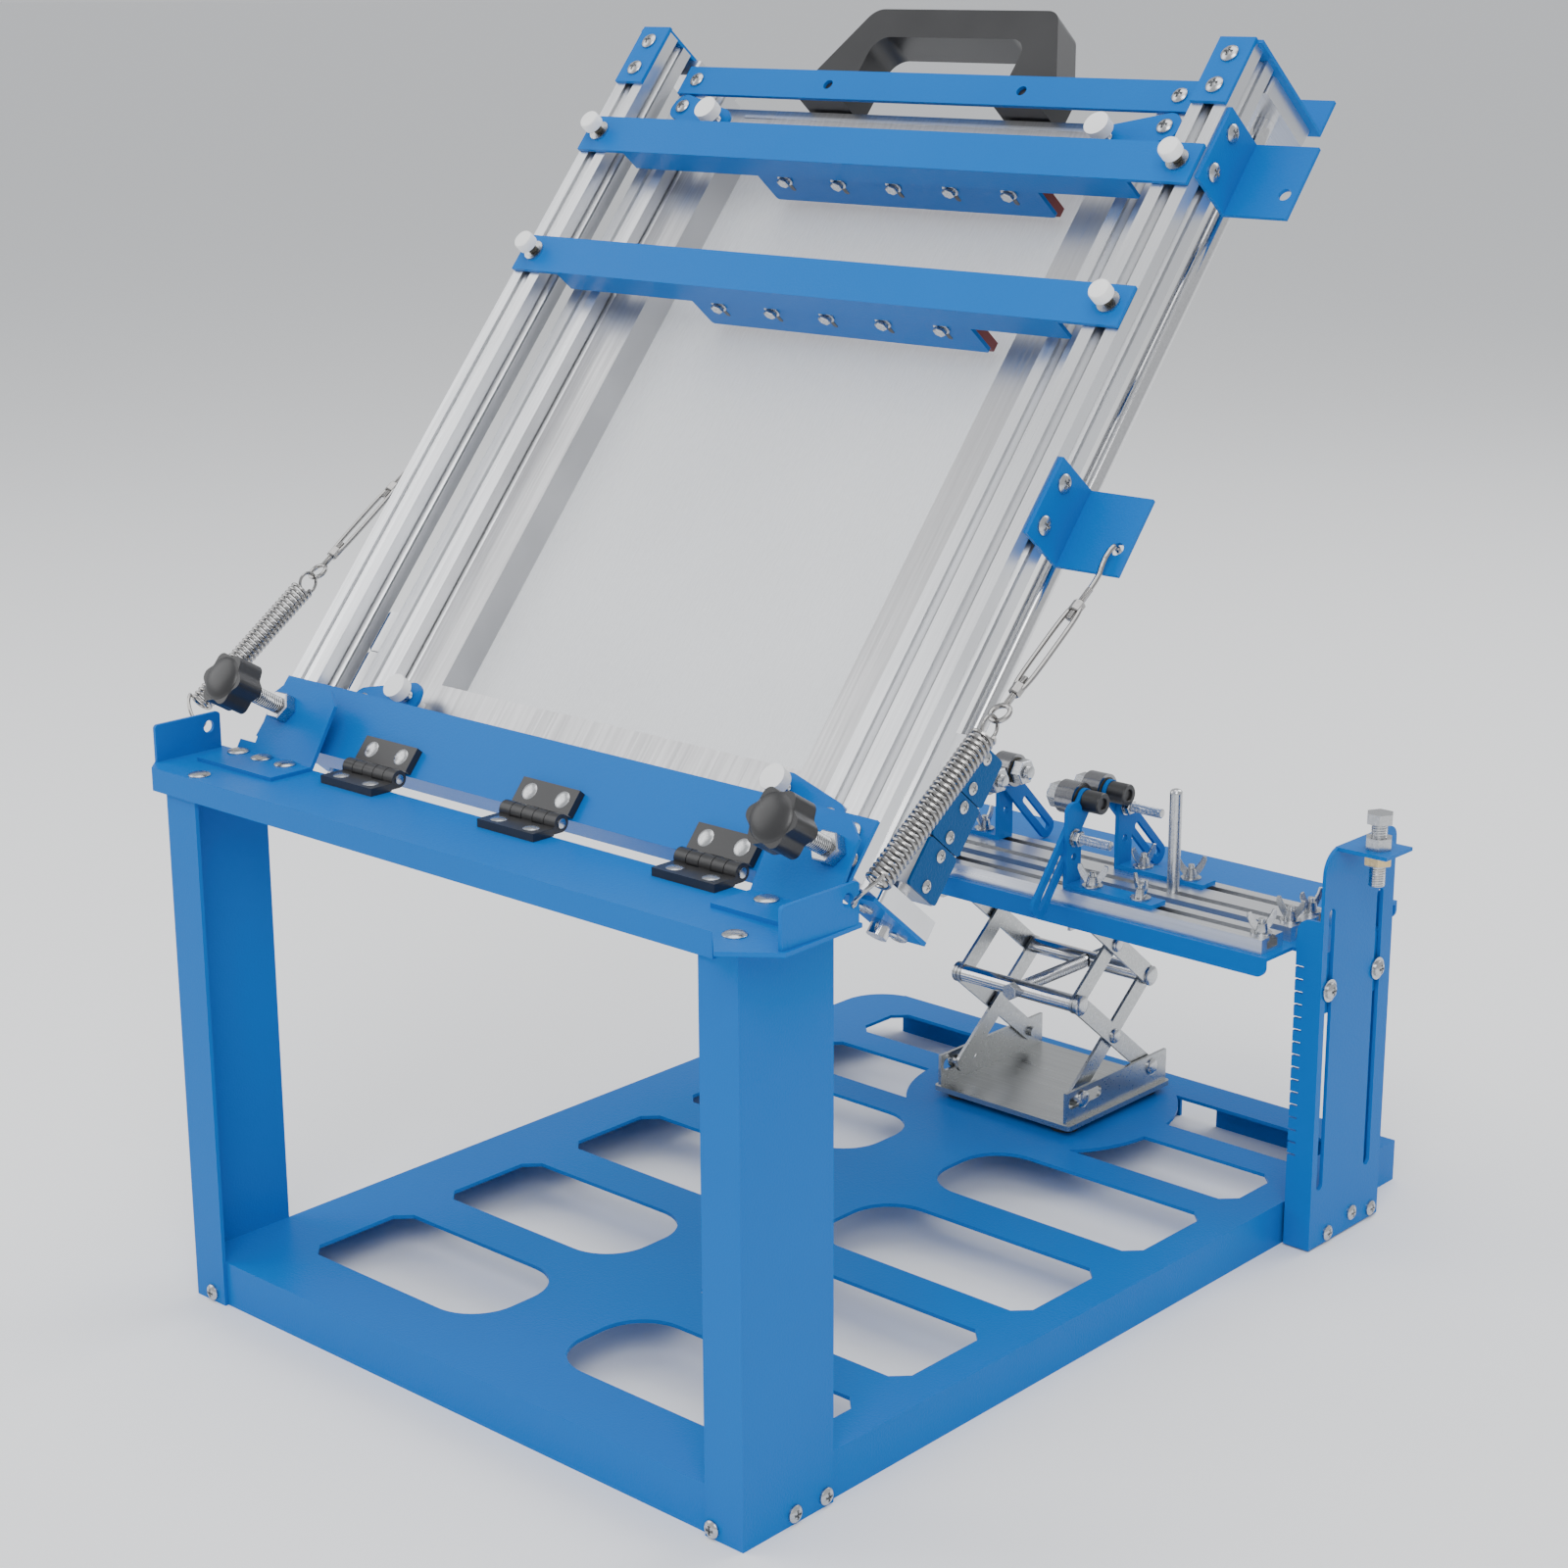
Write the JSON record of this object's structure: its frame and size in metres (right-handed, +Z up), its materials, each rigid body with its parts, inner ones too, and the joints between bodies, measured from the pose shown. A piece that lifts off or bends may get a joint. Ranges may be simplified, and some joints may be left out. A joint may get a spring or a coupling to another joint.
{
  "type": "cylindrical screen printing machine",
  "caption": "Bench-top screen printing press for round ware: a hinged screen carriage with squeegee bars above a roller work holder on a scissor jack.",
  "frame": {"origin": "on the floor, midway between the legs, at the legs' front face", "axes": "+X to the operator's right, +Y from the front to the back, +Z up"},
  "size_m": [0.476, 0.566, 0.6469],
  "materials": {
    "blue_paint": "powder coated, satin",
    "plain_aluminium": "extruded and anodised",
    "zinc_steel": "bare or zinc plated",
    "polished_steel": "polished",
    "blue_bars": "powder coated, satin",
    "black_plastic": "moulded",
    "blade_rubber": "smooth",
    "foot_rubber": "smooth",
    "white_plastic": "moulded caps on steel studs",
    "mesh_fabric": "fine stretched mesh"
  },
  "bodies": {
    "stand": {"base_tray": "blue_paint", "left_leg": "blue_paint", "right_leg": "blue_paint", "table_top": "blue_paint", "rear_post": "blue_paint", "adjusting_bolt": "zinc_steel", "lower_hinge_leaves": "black_plastic", "stop_brackets": "blue_paint", "jack_base": "zinc_steel", "jack_feet": "foot_rubber"},
    "left_knob": {"left_star_knob": "black_plastic"},
    "right_knob": {"right_star_knob": "black_plastic"},
    "tilting_frame": {"bottom_plate": "blue_paint", "upper_hinge_leaves": "black_plastic", "outer_profiles": "plain_aluminium", "end_caps": "blue_paint", "upper_end_plates": "blue_paint", "lower_end_plates": "blue_paint", "guide_rods": "polished_steel", "shaft_supports": "plain_aluminium", "spring_tabs": "blue_paint"},
    "upper_squeegee": {"upper_squeegee_bar": "blue_bars", "upper_squeegee_holder": "blue_bars", "upper_squeegee_blade": "blade_rubber"},
    "lower_squeegee": {"lower_squeegee_bar": "blue_bars", "lower_squeegee_holder": "blue_bars", "lower_squeegee_blade": "blade_rubber"},
    "carriage": {"inner_profiles": "plain_aluminium", "bearing_blocks": "plain_aluminium", "bearing_plates": "blue_paint", "screen_frame": "plain_aluminium", "screen_mesh": "mesh_fabric", "top_strip": "blue_paint", "carry_handle": "black_plastic", "clamp_levers": "blue_paint", "clamp_screws": "white_plastic"},
    "lower_arms": {"jack_lower_arms": "zinc_steel"},
    "crossed_arms": {"jack_crossed_arms": "zinc_steel"},
    "upper_arms_a": {"jack_upper_arms_a": "zinc_steel"},
    "upper_arms_b": {"jack_upper_arms_b": "zinc_steel"},
    "spindle": {"jack_spindle": "zinc_steel"},
    "rear_rod": {"jack_rear_rod": "zinc_steel"},
    "work_holder": {"holder_tray": "blue_paint", "front_rail": "plain_aluminium", "rear_rail": "plain_aluminium", "roller_brackets": "blue_paint", "stop_rod": "polished_steel", "jack_top_plate": "zinc_steel"},
    "left_front_wheel": {"left_front_roller": "polished_steel"},
    "left_rear_wheel": {"left_rear_roller": "polished_steel"},
    "right_front_wheel": {"right_front_roller": "polished_steel"},
    "right_rear_wheel": {"right_rear_roller": "polished_steel"},
    "left_spring": {"left_spring_coil": "polished_steel"},
    "right_spring": {"right_spring_coil": "polished_steel"},
    "left_link": {"left_turnbuckle": "polished_steel"},
    "right_link": {"right_turnbuckle": "polished_steel"}
  },
  "joints": [
    {"name": "carriage_tilt", "type": "hinge", "parent": "stand", "child": "tilting_frame", "pos_m": [0, 0.054, 0.29], "axis": [1, 0, 0], "range_deg": [-50, 0]},
    {"name": "screen_slide", "type": "slide", "parent": "tilting_frame", "child": "carriage", "axis": [0, 0.6428, 0.766], "range_m": [0, 0.2]},
    {"name": "upper_squeegee_slide", "type": "slide", "parent": "tilting_frame", "child": "upper_squeegee", "axis": [0, 0.6428, 0.766], "range_m": [-0.035, 0.005]},
    {"name": "lower_squeegee_slide", "type": "slide", "parent": "tilting_frame", "child": "lower_squeegee", "axis": [0, 0.6428, 0.766], "range_m": [-0.1, 0.015]},
    {"name": "left_knob_turn", "type": "hinge", "parent": "stand", "child": "left_knob", "pos_m": [-0.172, 0.06065, 0.30772], "axis": [0, -0.8572, 0.515], "continuous": true},
    {"name": "right_knob_turn", "type": "hinge", "parent": "stand", "child": "right_knob", "pos_m": [0.196, 0.06065, 0.30772], "axis": [0, -0.8572, 0.515], "continuous": true},
    {"name": "jack_lift", "type": "hinge", "parent": "stand", "child": "lower_arms", "pos_m": [0.004, 0.508, 0.04305], "axis": [-1, 0, 0], "range_deg": [-9.5, 12.5]},
    {"name": "crossed_arms_turn", "type": "hinge", "parent": "lower_arms", "child": "crossed_arms", "pos_m": [0.004, 0.47405, 0.07104], "axis": [-1, 0, 0], "range_deg": [-26, 20]},
    {"name": "upper_arms_a_turn", "type": "hinge", "parent": "lower_arms", "child": "upper_arms_a", "pos_m": [0.004, 0.4401, 0.09903], "axis": [-1, 0, 0], "range_deg": [-26, 20]},
    {"name": "upper_arms_b_turn", "type": "hinge", "parent": "upper_arms_a", "child": "upper_arms_b", "pos_m": [0.004, 0.47405, 0.12701], "axis": [-1, 0, 0], "range_deg": [-20, 26]},
    {"name": "holder_level", "type": "hinge", "parent": "upper_arms_a", "child": "work_holder", "pos_m": [0.004, 0.508, 0.155], "axis": [-1, 0, 0], "range_deg": [-10, 13]},
    {"name": "spindle_level", "type": "hinge", "parent": "lower_arms", "child": "spindle", "pos_m": [0.004, 0.4401, 0.09903], "axis": [-1, 0, 0], "range_deg": [-13, 10]},
    {"name": "rear_rod_level", "type": "hinge", "parent": "crossed_arms", "child": "rear_rod", "pos_m": [0.004, 0.508, 0.09903], "axis": [-1, 0, 0], "range_deg": [-10, 13]},
    {"name": "left_front_roller_turn", "type": "hinge", "parent": "work_holder", "child": "left_front_wheel", "pos_m": [-0.0215, 0.436, 0.222], "axis": [1, 0, 0], "continuous": true},
    {"name": "left_rear_roller_turn", "type": "hinge", "parent": "work_holder", "child": "left_rear_wheel", "pos_m": [-0.0215, 0.46, 0.222], "axis": [1, 0, 0], "continuous": true},
    {"name": "right_front_roller_turn", "type": "hinge", "parent": "work_holder", "child": "right_front_wheel", "pos_m": [0.0425, 0.436, 0.222], "axis": [1, 0, 0], "continuous": true},
    {"name": "right_rear_roller_turn", "type": "hinge", "parent": "work_holder", "child": "right_rear_wheel", "pos_m": [0.0425, 0.46, 0.222], "axis": [1, 0, 0], "continuous": true},
    {"name": "left_spring_swing", "type": "hinge", "parent": "stand", "child": "left_spring", "pos_m": [-0.2295, 0.04, 0.298], "axis": [1, 0, 0], "range_deg": [-48, 0]},
    {"name": "left_spring_stretch", "type": "slide", "parent": "left_spring", "child": "left_link", "axis": [0, 0.8172, 0.5764], "range_m": [0, 0.011]},
    {"name": "right_spring_swing", "type": "hinge", "parent": "stand", "child": "right_spring", "pos_m": [0.2295, 0.04, 0.298], "axis": [1, 0, 0], "range_deg": [-48, 0]},
    {"name": "right_spring_stretch", "type": "slide", "parent": "right_spring", "child": "right_link", "axis": [0, 0.8172, 0.5764], "range_m": [0, 0.011]}
  ],
  "couplings": [
    {"joint": "crossed_arms_turn", "follows": "jack_lift", "ratio": -2},
    {"joint": "upper_arms_a_turn", "follows": "jack_lift", "ratio": -2},
    {"joint": "upper_arms_b_turn", "follows": "jack_lift", "ratio": 2},
    {"joint": "holder_level", "follows": "jack_lift", "ratio": 1},
    {"joint": "spindle_level", "follows": "jack_lift", "ratio": -1},
    {"joint": "rear_rod_level", "follows": "jack_lift", "ratio": 1},
    {"joint": "left_spring_swing", "follows": "carriage_tilt", "ratio": 0.948},
    {"joint": "left_spring_stretch", "follows": "carriage_tilt", "m_per_rad": -0.0112},
    {"joint": "right_spring_swing", "follows": "carriage_tilt", "ratio": 0.948},
    {"joint": "right_spring_stretch", "follows": "carriage_tilt", "m_per_rad": -0.0112}
  ]
}
